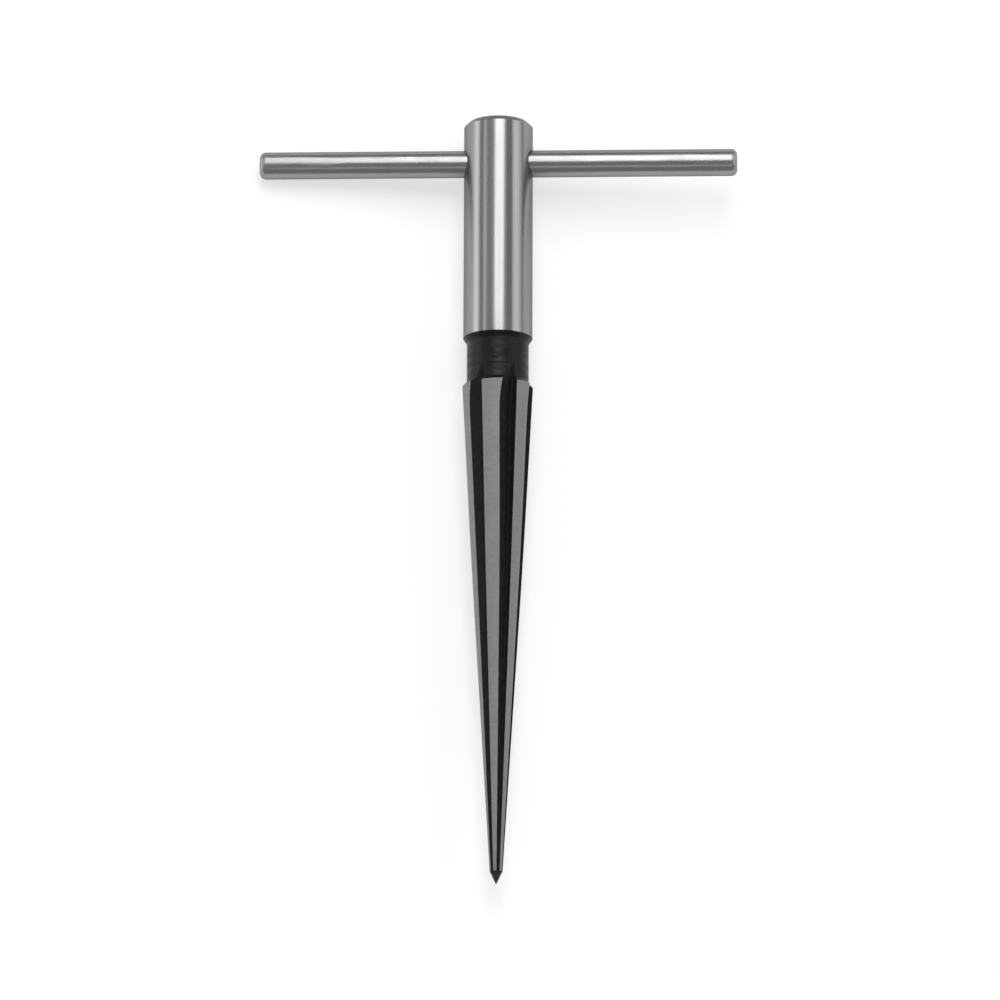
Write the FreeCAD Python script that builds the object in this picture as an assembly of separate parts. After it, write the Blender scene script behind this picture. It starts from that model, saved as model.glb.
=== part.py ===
# Taper reamer with a cross bar, in millimetres.
#
# A hand reamer is one bar of tool steel, turned, milled and ground: a plain head, a ground
# shank, a turned neck where the milling cutter runs out, and a long fluted taper with a
# conical point. A round bar is pressed through the head, and turns it.
#
# The tool lies on a surface as it comes to rest: its axis is level along Y, with the head
# towards +Y, and it is rolled until one end of the cross bar touches the surface. The
# origin is on that surface, half-way along the tool. Stations are distances along the
# axis, measured from the end face of the head.
import math
import os

import FreeCAD
import Part

os.makedirs("parts", exist_ok=True)

# Head and shank
SHANK_DIAMETER = 12.7
SHANK_LENGTH = 41.3
HEAD_CHAMFER = 0.92
CENTRE_MOUTH = 3.0
CENTRE_PILOT = 1.5
CENTRE_DEPTH = 2.8
CENTRE_ANGLE = 60.0
DRILL_POINT_ANGLE = 118.0

# Neck between the shank and the taper, turned a little below the shank
NECK_BELOW_SHANK = 1.36
NECK_DIAMETER = SHANK_DIAMETER - NECK_BELOW_SHANK
NECK_LENGTH = 9.2
NECK_FRONT_CHAMFER = 0.95
NECK_BACK_CHAMFER = 0.85
NECK_CORNER = 0.3

# Ground taper: its big end is just wider than the shank, and it is ground in two cones that
# meet at a knee, a third of the way down, where it stands a little full of one straight cone
BIG_END_OVER_SHANK = 0.23
BIG_END_DIAMETER = SHANK_DIAMETER + BIG_END_OVER_SHANK
SMALL_END_DIAMETER = 2.34
TAPER_LENGTH = 90.6
KNEE_SHARE = 0.34
KNEE_FULLNESS = 0.17
POINT_ANGLE = 52.0

# Teeth and flutes
TOOTH_COUNT = 6
FIRST_EDGE_ANGLE = -24.7
LAND_RELIEF_ANGLE = 2.5
FLUTE_DEPTH_AT_BIG_END = 1.96
FLUTE_DEPTH_AT_KNEE = 1.27
FLUTE_DEPTH_AT_SMALL_END = 0.27
FLUTE_ANGLE = 72.0
FLUTE_ROOT_RADIUS = 0.25
CUTTER_RADIUS = 40.0
CUTTER_STOP_PAST_BIG_END = 5.7

# Cross bar and its hole
BAR_DIAMETER = 5.0
BAR_LENGTH = 88.0
BAR_END_ROUNDING = 1.1
BAR_STATION = 7.75
HOLE_BREAK = 0.35

# How far a cutting shape reaches past the steel that it cuts
CLEAR = 1.0

# Stations along the axis, and the radius where the two cones meet
BIG_END = SHANK_LENGTH + NECK_LENGTH
KNEE = BIG_END + KNEE_SHARE * TAPER_LENGTH
SMALL_END = BIG_END + TAPER_LENGTH
STRAIGHT_RADIUS_AT_KNEE = (BIG_END_DIAMETER + (SMALL_END_DIAMETER - BIG_END_DIAMETER) * KNEE_SHARE) / 2
KNEE_RADIUS = STRAIGHT_RADIUS_AT_KNEE + KNEE_FULLNESS
POINT_HALF_ANGLE = math.radians(POINT_ANGLE / 2)
TIP = SMALL_END + SMALL_END_DIAMETER / 2 / math.tan(POINT_HALF_ANGLE)
OVERALL_LENGTH = TIP

# The tool is modelled about the Y axis, half its length each way, and laid down afterwards.
HEAD_FACE_Y = OVERALL_LENGTH / 2
AXIS = FreeCAD.Vector(0, 1, 0)
ORIGIN = FreeCAD.Vector(0, 0, 0)


def y_of(station):
    """The place along Y of a station."""
    return HEAD_FACE_Y - station


def turned(outline):
    """A solid turned about the Y axis from (radius, station) points and ready edges."""
    edges = []
    last = None
    for item in outline:
        if isinstance(item, tuple):
            point = FreeCAD.Vector(item[0], y_of(item[1]), 0)
            if last is not None:
                edges.append(Part.makeLine(last, point))
            last = point
        else:
            edges.append(item)
            last = item.Vertexes[-1].Point
    start = edges[0].Vertexes[0].Point
    edges.append(Part.makeLine(last, start))
    face = Part.Face(Part.Wire(edges))
    return face.revolve(ORIGIN, AXIS, 360)


def around(angle, radius, station):
    """A point on the tool: its angle is from +Z towards +X, in degrees."""
    turn = math.radians(angle)
    return FreeCAD.Vector(radius * math.sin(turn), y_of(station), radius * math.cos(turn))


def along_taper(big, knee, small, station):
    """A radius that runs straight from the big end to the knee, and from there to the small end."""
    if station < KNEE:
        return big + (knee - big) * (station - BIG_END) / (KNEE - BIG_END)
    return knee + (small - knee) * (station - KNEE) / (SMALL_END - KNEE)


def edge_radius(station):
    """The radius to the cutting edges."""
    return along_taper(BIG_END_DIAMETER / 2, KNEE_RADIUS, SMALL_END_DIAMETER / 2, station)


def root_radius(station):
    """The radius to the bottom of the flutes."""
    big = BIG_END_DIAMETER / 2 - FLUTE_DEPTH_AT_BIG_END
    knee = KNEE_RADIUS - FLUTE_DEPTH_AT_KNEE
    small = SMALL_END_DIAMETER / 2 - FLUTE_DEPTH_AT_SMALL_END
    return along_taper(big, knee, small, station)


def land_radius(edge, behind):
    """The relieved land: an eccentric arc that falls away behind its cutting edge."""
    offset = edge * math.tan(math.radians(LAND_RELIEF_ANGLE))
    arc_radius = math.hypot(edge, offset)
    turn = math.radians(behind)
    return math.sqrt(arc_radius ** 2 - (offset * math.cos(turn)) ** 2) - offset * math.sin(turn)


def shank_and_neck(neck_end):
    """The head, the ground shank and the neck, up to the foot of the taper's back chamfer."""
    shank = SHANK_DIAMETER / 2
    neck = NECK_DIAMETER / 2
    neck_start = SHANK_LENGTH + NECK_FRONT_CHAMFER
    slope = math.atan2(shank - neck, NECK_FRONT_CHAMFER)
    reach = NECK_CORNER * math.tan(slope / 2)
    return turned([
        (0, 0),
        (shank - HEAD_CHAMFER, 0),
        (shank, HEAD_CHAMFER),
        (shank, SHANK_LENGTH),
        (neck + reach * math.sin(slope), neck_start - reach * math.cos(slope)),
        corner_arc(neck, neck_start, slope, reach),
        (neck, neck_end),
        (0, neck_end),
    ])


def corner_arc(neck, neck_start, slope, reach):
    """The small round where the front chamfer runs into the neck."""
    centre_radius = neck + NECK_CORNER
    centre_station = neck_start + reach
    half = slope / 2
    start = (neck + reach * math.sin(slope), neck_start - reach * math.cos(slope))
    middle = (centre_radius - NECK_CORNER * math.cos(half), centre_station - NECK_CORNER * math.sin(half))
    end = (neck, neck_start + reach)
    points = [FreeCAD.Vector(radius, y_of(station), 0) for radius, station in (start, middle, end)]
    return Part.Arc(*points).toShape()


def relieved_section(station):
    """The section of the taper before its flutes are milled: one eccentric arc a tooth."""
    edge = edge_radius(station)
    pitch = 360 / TOOTH_COUNT
    edges = []
    for tooth in range(TOOTH_COUNT):
        first = FIRST_EDGE_ANGLE + tooth * pitch
        start = around(first, edge, station)
        middle = around(first + pitch / 2, land_radius(edge, pitch / 2), station)
        end = around(first + pitch, land_radius(edge, pitch), station)
        edges.append(Part.Arc(start, middle, end).toShape())
        edges.append(Part.makeLine(end, around(first + pitch, edge, station)))
    return Part.Wire(edges)


def ground_taper(neck_end):
    """The relieved taper, with its back chamfer and its point turned on it."""
    stations = (neck_end - CLEAR, KNEE, TIP + CLEAR)
    lands = Part.makeLoft([relieved_section(station) for station in stations], True, True)
    neck = NECK_DIAMETER / 2
    outside = BIG_END_DIAMETER / 2 + CLEAR
    run_per_rise = NECK_BACK_CHAMFER / (BIG_END_DIAMETER / 2 - neck)
    envelope = turned([
        (0, neck_end),
        (neck, neck_end),
        (outside, neck_end + (outside - neck) * run_per_rise),
        (outside, TIP - outside / math.tan(POINT_HALF_ANGLE)),
        (0, TIP),
    ])
    return lands.common(envelope)


def flute_profile(station, heading):
    """The milling cutter's section: a flat side on the cutting face, a sloping back, a round root.

    It stands at a station, square to the heading of the cut, in the plane of a tooth's
    cutting face at the top of the tool.
    """
    across = FreeCAD.Vector(-1, 0, 0)
    outward = heading.cross(across)
    if outward.z < 0:
        outward = -outward
    half = math.radians(FLUTE_ANGLE / 2)
    root = FLUTE_ROOT_RADIUS
    centre_height = root_radius(station) + root
    apex_height = centre_height - root / math.tan(half)
    reach = BIG_END_DIAMETER / 2
    slope = math.radians(FLUTE_ANGLE)

    def place(side, up):
        foot = FreeCAD.Vector(0, y_of(station), 0)
        return foot + across * side + outward * up

    tangent = root / math.tan(half)
    low_back = place(tangent * math.sin(slope), apex_height + tangent * math.cos(slope))
    middle = place(root - root * math.cos(half), centre_height - root * math.sin(half))
    low_face = place(0, centre_height)
    high_face = place(0, apex_height + reach)
    high_back = place(reach, apex_height + reach)
    far_back = place(reach, apex_height + reach / math.tan(slope))
    edges = [
        Part.Arc(low_back, middle, low_face).toShape(),
        Part.makeLine(low_face, high_face),
        Part.makeLine(high_face, high_back),
        Part.makeLine(high_back, far_back),
        Part.makeLine(far_back, low_back),
    ]
    return Part.Face(Part.Wire(edges))


def flute_cutter():
    """What one pass of the milling cutter sweeps out: two straight runs and its run-out."""
    stop = BIG_END + CUTTER_STOP_PAST_BIG_END
    stations = (stop, KNEE, TIP + CLEAR)
    bottom = [FreeCAD.Vector(0, y_of(station), root_radius(station)) for station in stations]
    first_run = bottom[1] - bottom[0]
    second_run = bottom[2] - bottom[1]
    heading = FreeCAD.Vector(first_run)
    heading.normalize()
    profile = flute_profile(stop, heading)
    straight = profile.extrude(first_run)
    last = profile.translated(first_run).extrude(second_run)
    outward = FreeCAD.Vector(0, -heading.z, heading.y)
    if outward.z < 0:
        outward = -outward
    hub = bottom[0] + outward * CUTTER_RADIUS
    climb = BIG_END_DIAMETER / 2 - root_radius(stop) + CLEAR
    sweep = math.degrees(math.acos(1 - climb / CUTTER_RADIUS))
    run_out = profile.revolve(hub, FreeCAD.Vector(1, 0, 0), sweep)
    return straight.fuse([last, run_out]).removeSplitter()


def drill_across(shank):
    """Drill the head for the cross bar, and round the sharp edge of each mouth."""
    length = SHANK_DIAMETER + 2 * CLEAR
    start = FreeCAD.Vector(-length / 2, y_of(BAR_STATION), 0)
    drilled = shank.cut(Part.makeCylinder(BAR_DIAMETER / 2, length, start, FreeCAD.Vector(1, 0, 0)))
    return drilled.makeFillet(HOLE_BREAK, [edge for edge in drilled.Edges if is_mouth(edge)])


def is_mouth(edge):
    """Whether an edge lies both on the cross hole and on the outside of the shank."""
    close = 0.001
    first, last = edge.ParameterRange
    for share in (0, 0.25, 0.5, 0.75, 1):
        point = edge.valueAt(first + share * (last - first))
        off_hole = math.hypot(point.y - y_of(BAR_STATION), point.z) - BAR_DIAMETER / 2
        off_shank = math.hypot(point.x, point.z) - SHANK_DIAMETER / 2
        if abs(off_hole) > close or abs(off_shank) > close:
            return False
    return True


def centre_hole():
    """The small centre drilled in the head, which the tool was turned and ground on."""
    mouth = CENTRE_MOUTH / 2
    pilot = CENTRE_PILOT / 2
    cone_depth = (mouth - pilot) / math.tan(math.radians(CENTRE_ANGLE / 2))
    bottom = CENTRE_DEPTH + pilot / math.tan(math.radians(DRILL_POINT_ANGLE / 2))
    return turned([(0, 0), (mouth, 0), (pilot, cone_depth), (pilot, CENTRE_DEPTH), (0, bottom)])


def make_body():
    """The reamer: turned and drilled, ground to its taper, and milled with one flute a tooth."""
    neck_end = BIG_END - NECK_BACK_CHAMFER
    shank = drill_across(shank_and_neck(neck_end)).cut(centre_hole())
    body = shank.fuse(ground_taper(neck_end)).removeSplitter()
    cutter = flute_cutter()
    pitch = 360 / TOOTH_COUNT
    for tooth in range(TOOTH_COUNT):
        turned_cutter = cutter.copy()
        turned_cutter.rotate(ORIGIN, AXIS, FIRST_EDGE_ANGLE + tooth * pitch)
        body = body.cut(turned_cutter)
    return body.removeSplitter()


def make_bar():
    """The cross bar, turned about its own length, with a round at each end."""
    radius = BAR_DIAMETER / 2
    half = BAR_LENGTH / 2
    start = FreeCAD.Vector(-half, y_of(BAR_STATION), 0)
    bar = Part.makeCylinder(radius, BAR_LENGTH, start, FreeCAD.Vector(1, 0, 0))
    ends = [edge for edge in bar.Edges if len(edge.Vertexes) == 1]
    return bar.makeFillet(BAR_END_ROUNDING, ends)


def resting_roll():
    """How far the tool rolls about its axis before the low end of the bar touches down."""
    across = BAR_LENGTH / 2 - BAR_END_ROUNDING
    down = BAR_DIAMETER / 2 - BAR_END_ROUNDING
    fall = SHANK_DIAMETER / 2 - BAR_END_ROUNDING
    return math.degrees(math.asin(fall / math.hypot(across, down)) - math.atan2(down, across))


def lay_down(shape):
    """Roll the tool until the -X end of the bar is down, and set the shank on the surface."""
    laid = shape.copy()
    laid.rotate(ORIGIN, AXIS, -resting_roll())
    laid.translate(FreeCAD.Vector(0, 0, SHANK_DIAMETER / 2))
    return laid


nodes = {
    "reamer_body": lay_down(make_body()),
    "cross_bar": lay_down(make_bar()),
}
for name, shape in nodes.items():
    shape.exportStep(f"parts/{name}.step")
    box = shape.optimalBoundingBox(False)
    print(name, "valid", shape.isValid(), "solids", len(shape.Solids), "faces", len(shape.Faces),
          "volume", round(shape.Volume, 1))
    print("   x", round(box.XMin, 2), round(box.XMax, 2), "y", round(box.YMin, 2), round(box.YMax, 2),
          "z", round(box.ZMin, 3), round(box.ZMax, 3))
print("overall length", round(OVERALL_LENGTH, 2), "roll", round(resting_roll(), 2))
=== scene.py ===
# %% [markdown]
# # A taper reamer, dressed in its steel
#
# The part is a hand reamer: a ground shank with a cross bar through its head, a black turned
# neck, and a long taper with six ground lands and six black flutes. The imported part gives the
# exact solids. This lesson builds a finer skin on the same sizes, gives each surface the finish
# that its last machine left on it, and sets up a light and a camera like the photograph's.
#
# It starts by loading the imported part, which stays where it is. Everything else is fitted to it.

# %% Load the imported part
import functools
import math

import bpy
from mathutils import Matrix, Vector


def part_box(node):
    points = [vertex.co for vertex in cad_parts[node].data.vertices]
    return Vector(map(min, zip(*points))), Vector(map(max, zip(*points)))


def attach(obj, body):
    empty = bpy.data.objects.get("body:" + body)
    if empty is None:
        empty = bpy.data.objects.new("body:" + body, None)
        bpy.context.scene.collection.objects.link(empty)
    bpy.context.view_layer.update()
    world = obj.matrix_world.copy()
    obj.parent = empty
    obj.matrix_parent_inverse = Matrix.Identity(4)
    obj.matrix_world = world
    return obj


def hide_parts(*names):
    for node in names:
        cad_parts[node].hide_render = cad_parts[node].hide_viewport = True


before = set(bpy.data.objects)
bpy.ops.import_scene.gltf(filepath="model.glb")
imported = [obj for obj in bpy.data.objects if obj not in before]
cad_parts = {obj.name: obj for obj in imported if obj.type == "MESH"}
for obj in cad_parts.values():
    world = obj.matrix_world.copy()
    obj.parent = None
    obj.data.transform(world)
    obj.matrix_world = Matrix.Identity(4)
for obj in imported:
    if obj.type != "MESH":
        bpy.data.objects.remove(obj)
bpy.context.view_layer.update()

# %% [markdown]
# ## Sizes
#
# Blender works in metres and a toolmaker in millimetres, so sizes are written in millimetres
# and turned into metres in one place. Stations are distances along the tool's axis from the
# end face of the head, as on the maker's drawing.

# %% Driving sizes, in millimetres and degrees
MM = 0.001
HEAD_FACE_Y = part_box("reamer_body")[1].y / MM

SHANK_RADIUS = 6.35
SHANK_LENGTH = 41.3
HEAD_CHAMFER = 0.92
CENTRE_MOUTH_RADIUS = 1.5
CENTRE_CONE_DEPTH = 1.299
PILOT_RADIUS = 0.75
PILOT_DEPTH = 2.8
DRILL_HALF_ANGLE = math.radians(59)
NECK_RADIUS = 5.67
NECK_FRONT_CHAMFER = 0.95
NECK_CORNER = 0.3
NECK_END = 49.65
CHAMFER_RISE = 0.795 / 0.85

BIG_END = 50.5
KNEE = 81.304
SMALL_END = 141.1
BIG_RADIUS = 6.465
KNEE_RADIUS = 4.8347
SMALL_RADIUS = 1.17
KNEE_BLEND = 11.0
POINT_HALF_ANGLE = math.radians(26)
TIP = SMALL_END + SMALL_RADIUS / math.tan(POINT_HALF_ANGLE)

TOOTH_COUNT = 6
PITCH = 360 / TOOTH_COUNT
LAND_RELIEF = math.radians(2.5)
FLUTE_DEPTH_BIG = 1.96
FLUTE_DEPTH_KNEE = 1.27
FLUTE_DEPTH_SMALL = 0.27
FLUTE_ANGLE = math.radians(72)
ROOT_RADIUS = 0.25
CUTTER_RADIUS = 40.0
CUTTER_STOP = 56.2

AXIS_HEIGHT = SHANK_RADIUS
ROLL = 5.16
FIRST_EDGE = -24.7 - ROLL
BAR_ANGLE = 90 - ROLL
BAR_STATION = 7.75
BAR_RADIUS = 2.5
BAR_LENGTH = 88.0
BAR_END_ROUNDING = 1.1
print("tip at station", round(TIP, 2), "head face at y", round(HEAD_FACE_Y, 2))

# %% [markdown]
# ## The surfaces of the taper
#
# The taper has four rules. The cutting edges follow a slow taper that turns into a slightly
# faster one at the knee. Behind each edge the land falls away on an eccentric arc, so that only
# the edge touches the work. The flute is the print of an angle cutter with a small round nose.
# Near the neck the cutter lifts out on its own radius. Each rule is one short function.

# %% The taper, its lands and the outside
def along_taper(big, knee, small, station):
    """A radius that falls slowly to the knee and faster after it, with the knee rounded off."""
    before = (knee - big) / (KNEE - BIG_END)
    after = (small - knee) / (SMALL_END - KNEE)
    past = station - KNEE
    if past < -KNEE_BLEND:
        return knee + before * past
    if past > KNEE_BLEND:
        return knee + after * past
    bend = (after - before) * (past ** 2 + KNEE_BLEND ** 2) / (4 * KNEE_BLEND)
    return knee + (before + after) / 2 * past + bend


def edge_radius(station):
    """The radius at the cutting edges."""
    return along_taper(BIG_RADIUS, KNEE_RADIUS, SMALL_RADIUS, station)


def root_radius(station):
    """The radius at the deepest line of a flute."""
    return along_taper(BIG_RADIUS - FLUTE_DEPTH_BIG, KNEE_RADIUS - FLUTE_DEPTH_KNEE,
                       SMALL_RADIUS - FLUTE_DEPTH_SMALL, station)


def land_radius(behind, station):
    """The land's radius so many degrees behind its cutting edge."""
    edge = edge_radius(station)
    offset = edge * math.tan(LAND_RELIEF)
    turn = math.radians(behind)
    return math.sqrt(edge ** 2 + offset ** 2 * math.sin(turn) ** 2) - offset * math.sin(turn)


def outer_radius(behind, station):
    """The outside of the steel: the neck, then the lowest of back chamfer, land and point."""
    if station <= NECK_END:
        return NECK_RADIUS
    chamfer = NECK_RADIUS + (station - NECK_END) * CHAMFER_RISE
    point = (TIP - station) * math.tan(POINT_HALF_ANGLE)
    return min(chamfer, land_radius(behind, station), point)


# %% The flute, seen from its cutting face
def cutter_outline(across):
    """How high the milling cutter's outline stands, so far across from the cutting face."""
    apex = ROOT_RADIUS - ROOT_RADIUS / math.tan(FLUTE_ANGLE / 2)
    tangent = ROOT_RADIUS / math.tan(FLUTE_ANGLE / 2) * math.sin(FLUTE_ANGLE)
    if across < tangent:
        return ROOT_RADIUS - math.sqrt(max(ROOT_RADIUS ** 2 - (across - ROOT_RADIUS) ** 2, 0))
    return apex + across / math.tan(FLUTE_ANGLE)


def floor_height(across, station):
    """The flute's floor: parallel to its root line, and lifting out on the cutter's radius."""
    rise = cutter_outline(across)
    if station >= CUTTER_STOP:
        return root_radius(station) + rise
    slope = math.atan(root_radius(CUTTER_STOP) - root_radius(CUTTER_STOP + 1))
    hub_station = CUTTER_STOP + CUTTER_RADIUS * math.sin(slope)
    hub_height = root_radius(CUTTER_STOP) + CUTTER_RADIUS * math.cos(slope)
    return hub_height - math.sqrt((CUTTER_RADIUS - rise) ** 2 - (station - hub_station) ** 2)


def halve(low, high, test, steps=34):
    """The place between low and high where the test turns from false to true."""
    for _ in range(steps):
        middle = (low + high) / 2
        if test(middle):
            high = middle
        else:
            low = middle
    return (low + high) / 2


def deepest(station):
    """How far across the flute comes closest to the axis."""
    centre = floor_height(ROOT_RADIUS, station) + ROOT_RADIUS
    return ROOT_RADIUS - ROOT_RADIUS ** 2 / math.hypot(ROOT_RADIUS, centre)


def stands_out(across, station):
    """Whether the flute's floor is outside the steel there, so that nothing is cut."""
    floor = floor_height(across, station)
    behind = PITCH - math.degrees(math.atan2(across, floor))
    return math.hypot(across, floor) > outer_radius(behind, station)


@functools.cache
def heel(station):
    """How far across the flute's back meets the outside."""
    return halve(deepest(station), NECK_RADIUS, lambda across: stands_out(across, station))


@functools.cache
def face_foot(station):
    """How far across the outside meets the cutting face: 0, or a little more at a run-out."""
    low = deepest(station)
    if not math.hypot(0, floor_height(0, station)) > outer_radius(0, station):
        return 0.0
    return low - halve(0, low, lambda back: stands_out(low - back, station))


# %% [markdown]
# ## One tooth
#
# A grid of points covers one sixth of the tool: columns go round from a cutting edge over its
# land, down the back of the next flute and up its cutting face, and rows go along the axis. Rows
# bend where the real edges bend, so every sharp edge is a line of the grid and stays crisp.
# Where a flute runs out, its columns meet in one point.

# %% Where the flute starts and ends, and the lines between the zones
def edge_angle(station):
    """The angle in degrees from a cutting face's plane to where its flute meets the outside."""
    across = face_foot(station)
    if not across:
        return 0.0
    return math.degrees(math.atan2(across, floor_height(across, station)))


def heel_angle(station):
    """The angle in degrees from a cutting face's plane to the heel behind its flute."""
    across = heel(station)
    return math.degrees(math.atan2(across, floor_height(across, station)))


def is_cut(station):
    """Whether the flute's floor is below the outside there."""
    return not stands_out(deepest(station), station)


SEARCH_LENGTH = 6
TIP_MARGIN = 0.001
NECK_EXIT = halve(NECK_END - SEARCH_LENGTH, NECK_END, is_cut)
POINT_EXIT = halve(TIP - TIP_MARGIN, SMALL_END, is_cut)
print("flutes run out at stations", round(NECK_EXIT, 2), "and", round(POINT_EXIT, 2))

LAND_COLUMNS = 40
JUST_INSIDE = 1e-6


def behind_at(share, station):
    """Degrees behind the cutting edge, so much of the way over the land."""
    if not NECK_EXIT < station < POINT_EXIT:
        end = min(max(station, NECK_EXIT + JUST_INSIDE), POINT_EXIT - JUST_INSIDE)
        across = deepest(end)
        turn = math.degrees(math.atan2(across, floor_height(across, end)))
        return -turn + share * PITCH
    first = -edge_angle(station)
    return first + share * (PITCH - heel_angle(station) - first)


@functools.cache
def chamfer_top(share):
    """The station where the back chamfer runs into the land."""
    def past(station):
        chamfer = NECK_RADIUS + (station - NECK_END) * CHAMFER_RISE
        return chamfer > land_radius(behind_at(share, station), station)
    return halve(NECK_END, BIG_END + 1, past)


@functools.cache
def point_start(share):
    """The station where the land runs into the point."""
    def past(station):
        point = (TIP - station) * math.tan(POINT_HALF_ANGLE)
        return point < land_radius(behind_at(share, station), station)
    return halve(SMALL_END - 1, SMALL_END + 1, past)


def level(station):
    """A row that keeps one station all the way round."""
    return lambda share: station


def between(start, end, way):
    """A row that lies so much of the way from the start row to the end row."""
    return lambda share: start(share) + way * (end(share) - start(share))


# %% Rows of the tooth, from the neck to the tip
NECK_SEAM = 45.6
TIP_CAP = 0.06
RUN_OUT_CROWDING = 1.6
# Each zone: its finish, the row where it starts, the row where it ends, and its number of steps.
ZONES = [
    ("neck", level(NECK_SEAM), level(NECK_EXIT), 3),
    ("neck", level(NECK_EXIT), level(NECK_END), 26),
    ("neck", level(NECK_END), chamfer_top, 7),
    ("land", chamfer_top, level(CUTTER_STOP), 22),
    ("land", level(CUTTER_STOP), level(KNEE + KNEE_BLEND), 30),
    ("land", level(KNEE + KNEE_BLEND), point_start, 16),
    ("point", point_start, level(POINT_EXIT), 6),
    ("point", level(POINT_EXIT), level(TIP - TIP_CAP), 5),
]


def tooth_rows():
    """Each row as its zone and a function from share of the way round to station."""
    rows = []
    for zone, start, end, steps in ZONES:
        first = 0 if not rows else 1
        for step in range(first, steps + 1):
            way = step / steps
            if start(0) == NECK_EXIT:
                way = way ** RUN_OUT_CROWDING
            rows.append((zone, between(start, end, way)))
    return rows


# %% Points of the tooth, about the tool's axis
BACK_COLUMNS = 10
ROOT_COLUMNS = 6
FACE_COLUMNS = 8
FLUTE_COLUMNS = BACK_COLUMNS + ROOT_COLUMNS + FACE_COLUMNS


def round_axis(angle, radius, station):
    """A point so many degrees round the axis, from straight up towards +X."""
    turn = math.radians(angle)
    y = HEAD_FACE_Y - station
    return Vector((radius * math.sin(turn), y, radius * math.cos(turn)))


def land_point(column, row, turned_by=0):
    """A point of the outside, counted from the cutting edge over the land to the heel."""
    share = column / LAND_COLUMNS
    station = row(share)
    behind = behind_at(share, station)
    return round_axis(behind + turned_by, outer_radius(behind, station), station)


def flute_point(column, row):
    """A point of the flute, counted from the heel down the back and up the cutting face."""
    share = column / FLUTE_COLUMNS
    station = row(1) + share * (row(0) - row(1))
    if column == FLUTE_COLUMNS or not NECK_EXIT < station < POINT_EXIT:
        end = min(max(station, NECK_EXIT), POINT_EXIT)
        return land_point(0, level(end), PITCH)
    tangent = ROOT_RADIUS / math.tan(FLUTE_ANGLE / 2) * math.sin(FLUTE_ANGLE)
    top, foot = heel(station), face_foot(station)
    low = min(top, tangent)
    if column <= BACK_COLUMNS:
        across = top + (low - top) * column / BACK_COLUMNS
        height = floor_height(across, station)
    elif column <= BACK_COLUMNS + ROOT_COLUMNS:
        quarter = (column - BACK_COLUMNS) / ROOT_COLUMNS * math.pi / 2
        across = foot + (low - foot) * (1 - math.sin(quarter))
        height = floor_height(across, station)
    else:
        across = foot
        floor = floor_height(foot, station)
        climb = (column - BACK_COLUMNS - ROOT_COLUMNS) / FACE_COLUMNS
        height = floor
        if foot == 0:
            height = floor + climb * (outer_radius(0, station) - floor)
    angle = PITCH - math.degrees(math.atan2(across, height))
    return round_axis(angle, math.hypot(across, height), station)


# %% The tooth as a mesh
FINISHES = ["ground_shank", "black_neck", "ground_land", "black_flute", "dark_point", "dark_edge"]
ZONE_FINISH = {"shank": 0, "neck": 1, "land": 2, "flute": 3, "point": 4, "edge": 5}
SEAM_WIDTH = 0.0005
SHARP_FROM = 25


class Skin:
    """Points and faces of a surface, with the zone that each face belongs to."""

    def __init__(self):
        self.points = []
        self.faces = []
        self.zones = []

    def grid(self, rows, zones):
        """Add rows of points, with a strip of faces between each row and the next."""
        first = len(self.points)
        width = len(rows[0])
        for row in rows:
            self.points.extend(row)
        for number in range(len(rows) - 1):
            start = first + number * width
            for column in range(width - 1):
                here = start + column
                self.faces.append((here, here + width, here + width + 1, here + 1))
                self.zones.append(ZONE_FINISH[zones[number]])

    def make(self, name):
        """The surface as a Blender object, in metres. Doubled points are merged later."""
        mesh = bpy.data.meshes.new(name)
        mesh.from_pydata([point * MM for point in self.points], [], self.faces)
        zone = mesh.attributes.new("zone", "INT", "FACE")
        zone.data.foreach_set("value", self.zones)
        made = bpy.data.objects.new(name, mesh)
        bpy.context.scene.collection.objects.link(made)
        return made


def make_tooth():
    """One sixth of the neck, taper and point: the outside, the tip and the flute."""
    rows = tooth_rows()
    skin = Skin()
    land = [[land_point(column, row) for column in range(LAND_COLUMNS + 1)] for _, row in rows]
    skin.grid(land, [zone for zone, _ in rows[1:]])
    tip = [round_axis(0, 0, TIP)] * (LAND_COLUMNS + 1)
    skin.grid([land[-1], tip], ["point"])
    cut = [row for _, row in rows if NECK_EXIT <= row(0) <= POINT_EXIT]
    flute = [[flute_point(column, row) for column in range(FLUTE_COLUMNS + 1)] for row in cut]
    skin.grid(flute, ["flute"] * (len(flute) - 1))
    return skin.make("one_tooth")


one_tooth = make_tooth()
print("one tooth has", len(one_tooth.data.polygons), "faces")

# %% [markdown]
# ## The turned part
#
# Head, shank and neck are turned and ground on centres, so one outline swept round the axis
# makes them, the small centre hole in the end face included. Each corner gets the slight
# rounding that keeps an edge from being a razor, and that catches the light. The rings have as
# many points as the six teeth, so the two skins meet point to point in the neck. The cross hole
# leaves a window on each side of the head, which is filled in the next step.

# %% The turned outline
WINDOW_HALF = 3.6
WINDOW_ROWS = 44
PLAIN_ROWS = 5
PLAIN_STEP = 5
AFTER_CORNER = 2.4
BLACK_OVERLAP = 0.03
SAME_RADIUS = 0.001
RING_POINTS = TOOTH_COUNT * LAND_COLUMNS


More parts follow.
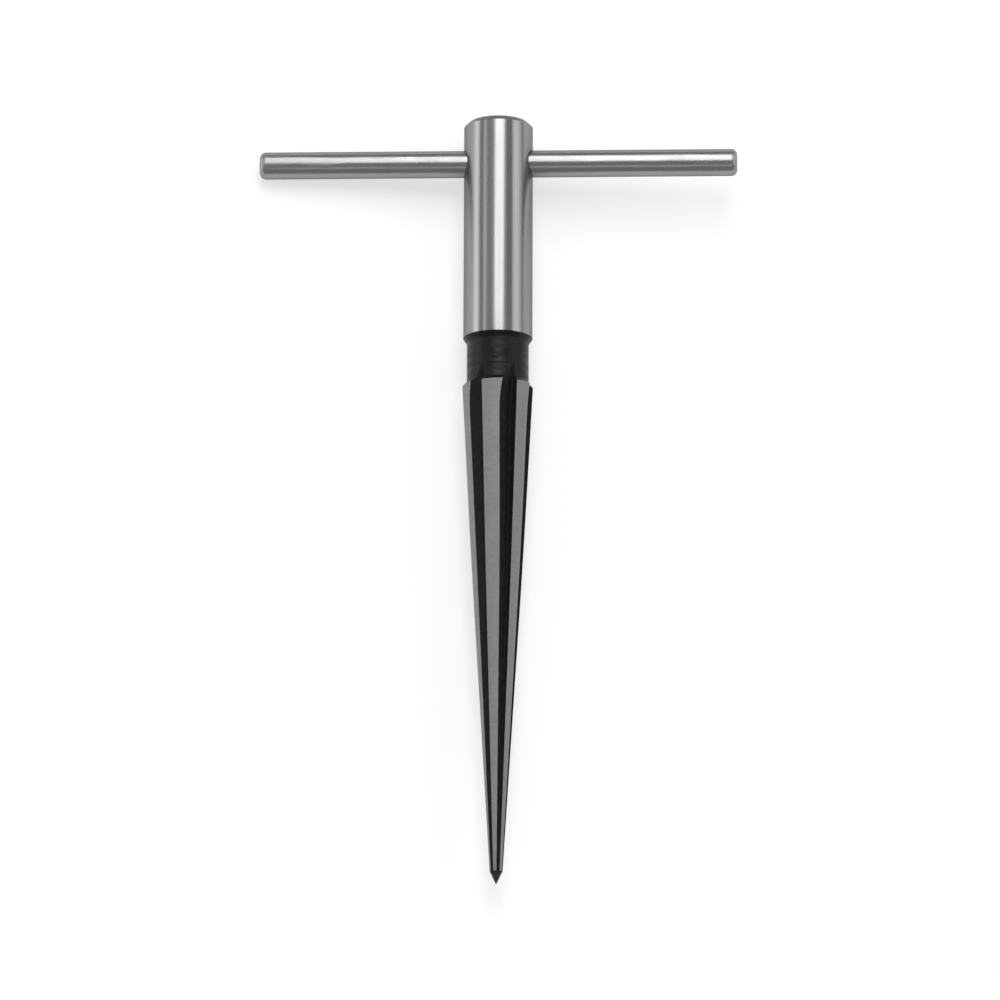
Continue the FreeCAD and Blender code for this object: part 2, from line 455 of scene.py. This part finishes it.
def rounded(corners, steps=4):
    """The points of an outline from corners of radius, station and rounding."""
    points = []
    for number, (radius, station, rounding) in enumerate(corners):
        corner = Vector((radius, station))
        if not rounding:
            points.append(corner)
            continue
        back = (Vector(corners[number - 1][:2]) - corner).normalized()
        ahead = (Vector(corners[number + 1][:2]) - corner).normalized()
        half = back.angle(ahead) / 2
        centre = corner + (back + ahead).normalized() * rounding / math.sin(half)
        start = (corner + back * rounding / math.tan(half) - centre).normalized()
        end = (corner + ahead * rounding / math.tan(half) - centre).normalized()
        for step in range(steps + 1):
            points.append(centre + start.slerp(end, step / steps) * rounding)
    return points


def shank_rows():
    """Plain rows down the shank, close together beside the cross hole."""
    rows = []
    for row in range(WINDOW_ROWS + 1):
        station = BAR_STATION - WINDOW_HALF + 2 * WINDOW_HALF * row / WINDOW_ROWS
        rows.append((SHANK_RADIUS, station, 0))
    for row in range(1, PLAIN_ROWS + 1):
        rows.append((SHANK_RADIUS, rows[WINDOW_ROWS][1] + PLAIN_STEP * row, 0))
    return rows


# Each corner: its radius, its station and its rounding.
turned_outline = rounded([
    (PILOT_RADIUS, PILOT_DEPTH, 0),
    (PILOT_RADIUS, CENTRE_CONE_DEPTH, 0),
    (CENTRE_MOUTH_RADIUS, 0, 0.06),
    (SHANK_RADIUS - HEAD_CHAMFER, 0, 0.12),
    (SHANK_RADIUS, HEAD_CHAMFER, 0.15),
    *shank_rows(),
    (SHANK_RADIUS, SHANK_LENGTH, 0.05),
    (NECK_RADIUS, SHANK_LENGTH + NECK_FRONT_CHAMFER, NECK_CORNER),
    (NECK_RADIUS, SHANK_LENGTH + AFTER_CORNER, 0),
    (NECK_RADIUS, NECK_SEAM, 0),
])
print("the turned outline has", len(turned_outline), "points")


# %% Rings round the axis, and the mouths of the cross hole
SEAM_ANGLE = FIRST_EDGE + behind_at(0, NECK_SEAM)
STEP_ANGLE = 360 / RING_POINTS
BAR_COLUMN = round((BAR_ANGLE - SEAM_ANGLE) / STEP_ANGLE)
SHANK_ANGLE = BAR_ANGLE - BAR_COLUMN * STEP_ANGLE
WINDOW_COLUMNS = 22
MOUTH_ROUNDING = 0.35
MOUTH_ROWS = 9
MOUTH_CROWDING = 1.3
LIP_STEPS = 5


def ring(radius, station):
    """A closed ring of points, in line with the bar on the shank and with the teeth at the seam."""
    way = (station - SHANK_LENGTH) / (NECK_SEAM - SHANK_LENGTH)
    way = min(max(way, 0), 1)
    start = SHANK_ANGLE + (SEAM_ANGLE - SHANK_ANGLE) * way
    angles = [start + column * STEP_ANGLE for column in range(RING_POINTS + 1)]
    return [round_axis(angle, radius, station) for angle in angles]


def is_window(column, station):
    """Whether the face that starts here belongs to a mouth of the cross hole."""
    inside_rows = abs(station - BAR_STATION + WINDOW_HALF / WINDOW_ROWS) < WINDOW_HALF
    from_bar = (column - BAR_COLUMN + WINDOW_COLUMNS) % (RING_POINTS // 2)
    return inside_rows and from_bar < 2 * WINDOW_COLUMNS


def turned_skin(skin):
    """The rings and the faces between them, without the two windows."""
    rings = [ring(max(point.x, 0), point.y) for point in turned_outline]
    bottom = round_axis(0, 0, PILOT_DEPTH + PILOT_RADIUS / math.tan(DRILL_HALF_ANGLE))
    skin.grid([[bottom] * (RING_POINTS + 1), rings[0]], ["edge"])
    first = len(skin.points)
    for points in rings:
        skin.points.extend(points)
    width = RING_POINTS + 1
    for row in range(len(rings) - 1):
        station = turned_outline[row].y
        zone = "shank"
        if station > SHANK_LENGTH - BLACK_OVERLAP:
            zone = "neck"
        elif station < HEAD_CHAMFER:
            # The end face and the head's chamfer take the darker edge grey, which on the chamfer is
            # a painted dark reflection.
            zone = "edge"
        on_shank = abs(turned_outline[row].x - SHANK_RADIUS) < SAME_RADIUS
        for column in range(RING_POINTS):
            if on_shank and is_window(column, station):
                continue
            here = first + row * width + column
            skin.faces.append((here, here + width, here + width + 1, here + 1))
            skin.zones.append(ZONE_FINISH[zone])


# %% [markdown]
# The mouth of the cross hole is where two cylinders meet, so its edge is a saddle and not a
# circle. A ball of the rounding's size, rolled along inside that edge, gives the true rounded
# lip: it touches the shank on one side and the hole's wall on the other.

# %% The rounded mouth
def window_border():
    """The border of a window as places along the axis and degrees from the bar, once round."""
    side = WINDOW_COLUMNS * STEP_ANGLE
    rows = [WINDOW_HALF - 2 * WINDOW_HALF * row / WINDOW_ROWS for row in range(WINDOW_ROWS + 1)]
    turns = [-side + column * STEP_ANGLE for column in range(2 * WINDOW_COLUMNS + 1)]
    head_side = [(WINDOW_HALF, turn) for turn in turns]
    right_side = [(along, side) for along in rows[1:]]
    tip_side = [(-WINDOW_HALF, turn) for turn in reversed(turns[:-1])]
    left_side = [(along, -side) for along in reversed(rows[:-1])]
    return head_side + right_side + tip_side + left_side


def mouth_column(along, turn, outward):
    """Points from a place on the window's border over the lip and into the hole."""
    sideways = SHANK_RADIUS * math.sin(math.radians(turn))
    round_bar = math.atan2(sideways, along)
    lip = BAR_RADIUS + MOUTH_ROUNDING
    centre_along = lip * math.cos(round_bar)
    centre_side = lip * math.sin(round_bar)
    inner = SHANK_RADIUS - MOUTH_ROUNDING
    centre_out = math.sqrt(inner ** 2 - centre_side ** 2)
    on_shank = Vector((0, centre_side, centre_out)) / inner
    on_wall = Vector((-math.cos(round_bar), -math.sin(round_bar), 0))
    centre = Vector((centre_along, centre_side, centre_out))
    touch = centre + on_shank * MOUTH_ROUNDING
    points = []
    for row in range(MOUTH_ROWS):
        way = 1 - (1 - row / MOUTH_ROWS) ** MOUTH_CROWDING
        place = along + (touch.x - along) * way
        side = sideways + (touch.y - sideways) * way
        points.append(Vector((place, side, math.sqrt(SHANK_RADIUS ** 2 - side ** 2))))
    for step in range(LIP_STEPS + 1):
        points.append(centre + on_shank.slerp(on_wall, step / LIP_STEPS) * MOUTH_ROUNDING)
    return [place_on_mouth(point, outward) for point in points], points[-1]


def place_on_mouth(point, outward):
    """From along, sideways and outward of a mouth to the tool's own axes."""
    turn = math.radians(outward)
    x = point.y * math.cos(turn) + point.z * math.sin(turn)
    z = -point.y * math.sin(turn) + point.z * math.cos(turn)
    return Vector((x, HEAD_FACE_Y - BAR_STATION + point.x, z))


def mouth_skin(skin, outward, with_wall):
    """The lip on one side of the head, and the hole's wall through to the other side."""
    columns = []
    for along, turn in window_border():
        points, last = mouth_column(along, turn, outward)
        if with_wall:
            points.append(place_on_mouth(Vector((last.x, last.y, -last.z)), outward))
        columns.append(points)
    rows = [list(row) for row in zip(*columns)]
    inside = len(rows) - 1 - MOUTH_ROWS
    # The rounded lip and the hole's wall take the darker edge grey, which paints the shade where
    # the bar enters the hole.
    skin.grid(rows, ["shank"] * MOUTH_ROWS + ["edge"] * inside)


turned_part_skin = Skin()
turned_skin(turned_part_skin)
mouth_skin(turned_part_skin, BAR_ANGLE, True)
mouth_skin(turned_part_skin, BAR_ANGLE - 180, False)
turned_part = turned_part_skin.make("turned_part")
print("the turned part has", len(turned_part.data.polygons), "faces")

# %% [markdown]
# ## Finishes
#
# The reamer has six finishes. Four are what their last machine left. The shank is ground round,
# so its light is crisp across and drawn out along the tool. The lands are ground matt. The neck
# and the flutes keep the black skin of the hardening bath over turning and milling marks. The
# point is darker than the lands, and so are the chamfer, the end face and the hole's lips. On the
# chamfer and the lips that darker grey is painted light: a painted dark reflection along the
# chamfer, and painted shade where the bar enters the hole.

# %% Small helpers for nodes
NOISE_LOW = 0.3
NOISE_HIGH = 0.7


def node_adder(tree):
    """A function that adds a node to the tree, with each input linked or set by its name."""
    def add(kind, inputs=None, **settings):
        node = tree.nodes.new(kind)
        for key, value in settings.items():
            setattr(node, key, value)
        for key, value in (inputs or {}).items():
            if isinstance(value, bpy.types.NodeSocket):
                tree.links.new(value, node.inputs[key])
            else:
                node.inputs[key].default_value = value
        return node
    return add


def new_finish(name):
    """A material, its node tree, its Principled shader, and a function that adds a node."""
    material = bpy.data.materials.new(name)
    material.use_nodes = True
    tree = material.node_tree
    return material, tree, tree.nodes["Principled BSDF"], node_adder(tree)


def streaks(add, scale, detail):
    """Noise on the object's own coordinates, stretched by its three scales (one a metre)."""
    place = add("ShaderNodeTexCoord")
    stretch = add("ShaderNodeMapping", {"Vector": place.outputs["Object"], "Scale": scale})
    noise = add("ShaderNodeTexNoise", {"Vector": stretch.outputs["Vector"], "Scale": 1.0,
                                       "Detail": detail})
    return noise.outputs["Fac"]


def ramp(add, fac, low, high, dark, pale):
    """A smooth change between two greys as the factor goes from low to high."""
    spread = add("ShaderNodeMapRange", {"Value": fac, "From Min": low, "From Max": high,
                                        "To Min": dark, "To Max": pale})
    return spread.outputs["Result"]


def noisy(add, noise, middle, least, most):
    """A value that goes from the least to the most times its middle, as the noise rises."""
    return ramp(add, noise, NOISE_LOW, NOISE_HIGH, middle * least, middle * most)


def grey_colour(add, tone):
    """A grey of this tone as a colour socket."""
    colour = add("ShaderNodeCombineColor", {"Red": tone, "Green": tone, "Blue": tone})
    return colour.outputs["Color"]


# %% Ground shank and bar
WARM_RED = 1.01
WARM_GREEN = 0.99
GRAZING_TINT = 0.5
QUARTER_TURN = 0.25


def ground_round(name, grey, axis, marks, depth, roughness, stretch):
    """Steel ground round: light stays crisp across the marks and spreads along the piece."""
    material, tree, shader, add = new_finish(name)
    shader.inputs["Metallic"].default_value = 1.0
    shader.inputs["Base Color"].default_value = (grey * WARM_RED, grey * WARM_GREEN, grey, 1)
    shader.inputs["Specular Tint"].default_value = (GRAZING_TINT, GRAZING_TINT, GRAZING_TINT, 1)
    shader.inputs["Anisotropic"].default_value = stretch
    shader.inputs["Anisotropic Rotation"].default_value = QUARTER_TURN
    tangent = add("ShaderNodeTangent", direction_type="RADIAL", axis=axis)
    tree.links.new(tangent.outputs["Tangent"], shader.inputs["Tangent"])
    wear = streaks(add, marks, detail=3.0)
    dull = noisy(add, wear, roughness, least=0.8, most=1.2)
    tree.links.new(dull, shader.inputs["Roughness"])
    uneven = streaks(add, marks, detail=0.0)
    bump = add("ShaderNodeBump", {"Distance": depth * MM, "Height": uneven})
    tree.links.new(bump.outputs["Normal"], shader.inputs["Normal"])
    return material


# %% Black skin of the neck and the flutes
LINE_STATION = 47.4
LINE_HALF_WIDTH = 0.3
LINE_DEPTH = 0.05


def black_skin(name, grey, roughness, shine, marks, depth, line=None):
    """Dark skin over tool marks. A line is a place along Y where the turning tool dug in."""
    material, tree, shader, add = new_finish(name)
    shader.inputs["Metallic"].default_value = 0.0
    shader.inputs["Specular IOR Level"].default_value = shine
    cloud = streaks(add, marks, detail=5.0)
    tone = noisy(add, cloud, grey, least=0.6, most=1.4)
    tree.links.new(grey_colour(add, tone), shader.inputs["Base Color"])
    dull = noisy(add, cloud, roughness, least=0.8, most=1.25)
    tree.links.new(dull, shader.inputs["Roughness"])
    bump = add("ShaderNodeBump", {"Distance": depth * MM, "Height": cloud})
    if line is not None:
        place = add("ShaderNodeTexCoord")
        split = add("ShaderNodeSeparateXYZ", {"Vector": place.outputs["Object"]})
        off = add("ShaderNodeMath", {0: split.outputs["Y"], 1: line}, operation="SUBTRACT")
        off = add("ShaderNodeMath", {0: off.outputs[0]}, operation="ABSOLUTE")
        groove = ramp(add, off.outputs[0], 0.0, LINE_HALF_WIDTH * MM, 0.0, 1.0)
        bump = add("ShaderNodeBump", {"Distance": LINE_DEPTH * MM, "Height": groove,
                                      "Normal": bump.outputs["Normal"]})
    tree.links.new(bump.outputs["Normal"], shader.inputs["Normal"])
    return material


# %% Ground lands, the point and the dark edges
WHEEL_SCALE = (900, 2400, 900)
WHEEL_DEPTH = 0.03
WHEEL_STRENGTH = 0.1
CLOUD_SCALE = (400, 200, 400)
BOTH_LOW = 0.7
BOTH_HIGH = 1.3


def ground_flat(name, grey, roughness, unevenness):
    """Matt ground steel: fine wheel marks, and a tone that varies by the unevenness."""
    material, tree, shader, add = new_finish(name)
    shader.inputs["Metallic"].default_value = 1.0
    wheel_marks = streaks(add, WHEEL_SCALE, detail=3.0)
    cloud = streaks(add, CLOUD_SCALE, detail=4.0)
    both = add("ShaderNodeMath", {0: wheel_marks, 1: cloud}, operation="ADD")
    dark = grey * (1 - unevenness)
    pale = grey * (1 + unevenness)
    tone = ramp(add, both.outputs[0], BOTH_LOW, BOTH_HIGH, dark, pale)
    tree.links.new(grey_colour(add, tone), shader.inputs["Base Color"])
    dull = noisy(add, cloud, roughness, least=0.9, most=1.1)
    tree.links.new(dull, shader.inputs["Roughness"])
    bump = add("ShaderNodeBump", {"Strength": WHEEL_STRENGTH, "Distance": WHEEL_DEPTH * MM,
                                  "Height": wheel_marks})
    tree.links.new(bump.outputs["Normal"], shader.inputs["Normal"])
    return material


# %% The six finishes
shank_steel = ground_round("ground_shank", grey=0.30, axis="Y", marks=(900, 25, 900),
                           depth=0.012, roughness=0.27, stretch=0.8)
tool_line = (HEAD_FACE_Y - LINE_STATION) * MM
neck_skin = black_skin("black_neck", grey=0.0045, roughness=0.38, shine=0.21,
                       marks=(450, 800, 450), depth=0.20, line=tool_line)
land_steel = ground_flat("ground_land", grey=0.285, roughness=0.70, unevenness=0.10)
flute_skin = black_skin("black_flute", grey=0.013, roughness=0.6, shine=0.09,
                        marks=(1800, 900, 1800), depth=0.09)
point_steel = ground_flat("dark_point", grey=0.055, roughness=0.5, unevenness=0.15)
# The darker edge grey: on the head's chamfer it is a painted dark reflection, and on the hole's
# lips it is painted shade at the bar's entry.
edge_steel_and_painted_shade = ground_flat("dark_edge", grey=0.11, roughness=0.35, unevenness=0.15)
finishes = (shank_steel, neck_skin, land_steel, flute_skin, point_steel, edge_steel_and_painted_shade)
print("finishes:", [material.name for material in finishes])

# %% [markdown]
# ## Six teeth from one
#
# The milling machine cuts one flute, then its dividing head turns the tool by a sixth. Geometry
# Nodes do the same: the tooth is an instance, copied round the axis by its index. The tree then
# joins the turned part, closes the seams by merging doubled points, lifts the axis to its height
# above the floor and gives each zone its finish.

# %% The dividing head as a node tree
def dividing_head():
    """The node tree, and the identifier of each of its inputs by name."""
    tree = bpy.data.node_groups.new("dividing_head", "GeometryNodeTree")
    face = tree.interface
    face.new_socket("Tooth", in_out="INPUT", socket_type="NodeSocketGeometry")
    sockets = {}
    for name, kind in (("Turned part", "NodeSocketObject"), ("Teeth", "NodeSocketInt"),
                       ("First edge", "NodeSocketFloat"), ("Axis height", "NodeSocketFloat"),
                       ("Seam width", "NodeSocketFloat")):
        sockets[name] = face.new_socket(name, in_out="INPUT", socket_type=kind).identifier
    for name in FINISHES:
        socket = face.new_socket(name, in_out="INPUT", socket_type="NodeSocketMaterial")
        sockets[name] = socket.identifier
    face.new_socket("Reamer", in_out="OUTPUT", socket_type="NodeSocketGeometry")

    add = node_adder(tree)
    given = add("NodeGroupInput").outputs
    places = add("GeometryNodePoints", {"Count": given["Teeth"]})
    number = add("GeometryNodeInputIndex")
    share = add("ShaderNodeMath", {0: number.outputs[0], 1: given["Teeth"]}, operation="DIVIDE")
    turn = add("ShaderNodeMath", {0: share.outputs[0], 1: math.tau, 2: given["First edge"]},
               operation="MULTIPLY_ADD")
    about_y = add("ShaderNodeCombineXYZ", {"Y": turn.outputs[0]})
    rotation = add("FunctionNodeEulerToRotation", {"Euler": about_y.outputs[0]})
    teeth = add("GeometryNodeInstanceOnPoints", {"Points": places.outputs[0],
                                                 "Instance": given["Tooth"],
                                                 "Rotation": rotation.outputs[0]})
    turned = add("GeometryNodeObjectInfo", {"Object": given["Turned part"]})
    joined = add("GeometryNodeJoinGeometry", {0: teeth.outputs[0]})
    tree.links.new(turned.outputs["Geometry"], joined.inputs[0])
    real = add("GeometryNodeRealizeInstances", {0: joined.outputs[0]})
    closed = add("GeometryNodeMergeByDistance", {"Geometry": real.outputs[0],
                                                 "Distance": given["Seam width"]})
    lift = add("ShaderNodeCombineXYZ", {"Z": given["Axis height"]})
    last = add("GeometryNodeTransform", {"Geometry": closed.outputs[0],
                                         "Translation": lift.outputs[0]})
    for index, name in enumerate(FINISHES):
        zone = add("GeometryNodeInputNamedAttribute", {"Name": "zone"}, data_type="INT")
        same = add("FunctionNodeCompare", {2: zone.outputs[0], 3: index},
                   data_type="INT", operation="EQUAL")
        last = add("GeometryNodeSetMaterial", {"Geometry": last.outputs[0],
                                               "Selection": same.outputs[0],
                                               "Material": given[name]})
    add("NodeGroupOutput", {0: last.outputs[0]})
    return tree, sockets


def plain_mesh(grown, name):
    """What the object's modifiers make, as a plain object at the origin."""
    depsgraph = bpy.context.evaluated_depsgraph_get()
    mesh = bpy.data.meshes.new_from_object(grown.evaluated_get(depsgraph))
    mesh.name = name
    made = bpy.data.objects.new(name, mesh)
    bpy.context.scene.collection.objects.link(made)
    return made


def open_edges(piece):
    """How many edges don't have exactly two faces: none, on a closed skin."""
    uses = {}
    for face in piece.data.polygons:
        for key in face.edge_keys:
            uses[key] = uses.get(key, 0) + 1
    return sum(count != 2 for count in uses.values())


def smooth_but_crisp(piece, degrees):
    """Smooth shading, with every edge that turns by more than so many degrees kept sharp."""
    piece.data.shade_smooth()
    piece.data.set_sharp_from_angle(angle=math.radians(degrees))


# %% Grow the reamer
tree, socket_of = dividing_head()
dividing = one_tooth.modifiers.new("dividing_head", "NODES")
dividing.node_group = tree
dividing[socket_of["Turned part"]] = turned_part
dividing[socket_of["Teeth"]] = TOOTH_COUNT
dividing[socket_of["First edge"]] = math.radians(FIRST_EDGE)
dividing[socket_of["Axis height"]] = AXIS_HEIGHT * MM
dividing[socket_of["Seam width"]] = SEAM_WIDTH * MM
for name, material in zip(FINISHES, finishes):
    dividing[socket_of[name]] = material

reamer = plain_mesh(one_tooth, "reamer")
bpy.data.objects.remove(one_tooth)
bpy.data.objects.remove(turned_part)
smooth_but_crisp(reamer, SHARP_FROM)
reamer_faces = len(reamer.data.polygons)
print("the reamer has", reamer_faces, "faces and", open_edges(reamer), "open edges")
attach(reamer, "root")
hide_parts("reamer_body")

# %% [markdown]
# ## The cross bar
#
# A length of bright ground rod with rounded ends. It is turned like the shank, about its own
# length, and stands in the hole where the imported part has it.

# %% The bar
BAR_RING_POINTS = 128
BAR_END_STEPS = 10


def make_bar():
    """The rod's outline swept round its own length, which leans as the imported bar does."""
    direction = Vector((math.sin(math.radians(BAR_ANGLE)), 0, math.cos(math.radians(BAR_ANGLE))))
    centre = Vector((0, HEAD_FACE_Y - BAR_STATION, AXIS_HEIGHT))
    along_tool = Vector((0, 1, 0))
    upright = direction.cross(along_tool)
    half = BAR_LENGTH / 2
    outline = rounded([
        (0, -half, 0),
        (BAR_RADIUS, -half, BAR_END_ROUNDING),
        (BAR_RADIUS, half, BAR_END_ROUNDING),
        (0, half, 0),
    ], BAR_END_STEPS)
    rows = []
    for point in outline:
        row = []
        for column in range(BAR_RING_POINTS + 1):
            turn = math.tau * column / BAR_RING_POINTS
            arm = along_tool * math.cos(turn) + upright * math.sin(turn)
            row.append(centre + direction * point.y + arm * point.x)
        rows.append(row)
    skin = Skin()
    skin.grid(rows, ["shank"] * (len(rows) - 1))
    return skin


bar_steel = ground_round("bright_bar", grey=0.305, axis="X", marks=(150, 900, 900),
                         depth=0.018, roughness=0.30, stretch=0.6)
bar_skin = make_bar()
cross_bar = bar_skin.make("cross_bar_bright")
weld = cross_bar.modifiers.new("weld", "WELD")
weld.merge_threshold = SEAM_WIDTH * MM
bar_piece = plain_mesh(cross_bar, "cross_bar_bright_rod")
bpy.data.objects.remove(cross_bar)
bar_piece.data.materials.clear()
bar_piece.data.materials.append(bar_steel)
smooth_but_crisp(bar_piece, SHARP_FROM)
bar_faces = len(bar_piece.data.polygons)
print("the cross bar has", bar_faces, "faces and", open_edges(bar_piece), "open edges")
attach(bar_piece, "root")
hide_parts("cross_bar")

# %% [markdown]
# ## The camera
#
# The photograph was matched with a pinhole camera, one and a half metres away and nearly square
# to the shank. The camera is placed by the direction that it looks from, and by the point on the
# axis that it looks at.

# %% A camera like the photograph's
CAMERA_DISTANCE = 1.5
NEAR_LIMIT = 0.1
SENSOR_WIDTH = 36.0
PICTURE_SIZE = 1000
FOCAL_PIXELS = 8225.95
TILT = math.radians(14.95)
SIDEWAYS = math.radians(3.05)
CAMERA_ROLL = 0.00325
AIM_STATION = 72.0
AIM_RIGHT = 0.491
AIM_UP = 0.185


def place_camera():
    """The camera, placed by its direction, its roll and the point that it looks at."""
    toward = Vector((-math.sin(SIDEWAYS) * math.cos(TILT), -math.sin(TILT),
                     math.cos(SIDEWAYS) * math.cos(TILT)))
    up = Vector((0, 1, 0))
    up = (up - toward * up.dot(toward)).normalized()
    right = up.cross(toward)
    turned_right = right * math.cos(CAMERA_ROLL) + up * math.sin(CAMERA_ROLL)
    turned_up = up * math.cos(CAMERA_ROLL) - right * math.sin(CAMERA_ROLL)
    aim = Vector((0, HEAD_FACE_Y - AIM_STATION, AXIS_HEIGHT)) * MM
    aim += (turned_right * AIM_RIGHT + turned_up * AIM_UP) * MM
    lens = bpy.data.cameras.new("camera")
    lens.sensor_width = SENSOR_WIDTH
    lens.lens = FOCAL_PIXELS / PICTURE_SIZE * lens.sensor_width
    lens.clip_start = NEAR_LIMIT
    camera = bpy.data.objects.new("camera", lens)
    place = Matrix((turned_right, turned_up, toward)).transposed().to_4x4()
    place.translation = aim + toward * CAMERA_DISTANCE
    camera.matrix_world = place
    bpy.context.scene.collection.objects.link(camera)
    bpy.context.scene.camera = camera
    return camera


camera = place_camera()
print("camera at", camera.matrix_world.translation)

# %% [markdown]
# ## Floor and light
#
# The tool lies on a white table. A bright softbox overhead draws the white line down the shank,
# with a weaker, wider one behind it for the soft edge of that line. Strips on each side draw the
# side lines, and the dim room between them gives the dark gaps. A weak lamp towards the point
# lights the lower side of the bar. The table takes shadows as a grey one does, and is lifted to
# white where the camera or the steel sees it.

# %% The floor
FLOOR_GREY = 0.52
FLOOR_LIFT = 0.54
FLOOR_HALF = 3.0


def white_floor():
    """A matt grey that takes shadows, lifted to white where it is seen or mirrored."""
    material, tree, shader, add = new_finish("white_floor")
    shader.inputs["Base Color"].default_value = (FLOOR_GREY, FLOOR_GREY, FLOOR_GREY, 1)
    shader.inputs["Roughness"].default_value = 1.0
    shader.inputs["Specular IOR Level"].default_value = 0.0
    shader.inputs["Emission Color"].default_value = (1, 1, 1, 1)
    rays = add("ShaderNodeLightPath")
    seen = rays.outputs["Is Camera Ray"]
    for kind in ("Is Glossy Ray", "Is Transmission Ray"):
        either = add("ShaderNodeMath", {0: seen, 1: rays.outputs[kind]}, operation="MAXIMUM")
        seen = either.outputs[0]
    lift = add("ShaderNodeMath", {0: seen, 1: FLOOR_LIFT}, operation="MULTIPLY")
    tree.links.new(lift.outputs[0], shader.inputs["Emission Strength"])
    return material


def make_floor():
    """One large square under the tool."""
    half = FLOOR_HALF
    mesh = bpy.data.meshes.new("floor")
    corners = [(-half, -half, 0), (half, -half, 0), (half, half, 0), (-half, half, 0)]
    mesh.from_pydata(corners, [], [(0, 1, 2, 3)])
    mesh.materials.append(white_floor())
    floor = bpy.data.objects.new("floor", mesh)
    bpy.context.scene.collection.objects.link(floor)


make_floor()

# %% The lamps and the room
ROOM_GREY = 0.38
# Each lamp: its name, degrees sideways and headwards, then distance, width and length in
# metres, and its power in watts.
LAMPS = [
    ("overhead_softbox", 0.5, 33, 0.9, 0.46, 0.80, 4.2),
    ("overhead_glow", 0.5, 33, 1.0, 0.88, 0.90, 0.48),
    ("front_softbox", 0, -38, 0.9, 0.50, 0.16, 0.22),
    ("left_strip", -80, 12, 0.9, 0.32, 1.2, 2.05),
    ("left_glow", -32, 12, 0.9, 0.24, 1.2, 0.13),
    ("left_slit", -48, 12, 0.9, 0.17, 1.2, 0.58),
    ("right_strip", 57, 12, 0.9, 0.35, 1.2, 1.62),
    ("right_edge", 74, 12, 0.9, 0.19, 1.2, 0.55),
]


def softbox(name, sideways, headwards, distance, width, length, power):
    """A lamp seen from the tool at an angle sideways and an angle towards the head, facing it."""
    side = math.radians(sideways)
    head = math.radians(headwards)
    direction = Vector((math.sin(side) * math.cos(head), math.sin(head),
                        math.cos(side) * math.cos(head)))
    lamp = bpy.data.lights.new(name, "AREA")
    lamp.shape = "RECTANGLE"
    lamp.size = width
    lamp.size_y = length
    lamp.energy = power
    placed = bpy.data.objects.new(name, lamp)
    across = Vector((0, 1, 0)).cross(direction).normalized()
    along = direction.cross(across)
    matrix = Matrix((across, along, direction)).transposed().to_4x4()
    matrix.translation = direction * distance
    placed.matrix_world = matrix
    bpy.context.scene.collection.objects.link(placed)


for lamp_values in LAMPS:
    softbox(*lamp_values)
print("lamps:", [values[0] for values in LAMPS])

world = bpy.data.worlds.new("room")
world.use_nodes = True
background = world.node_tree.nodes["Background"]
background.inputs["Color"].default_value = (ROOM_GREY, ROOM_GREY, ROOM_GREY, 1)
bpy.context.scene.world = world
bpy.context.scene.view_settings.view_transform = "Standard"
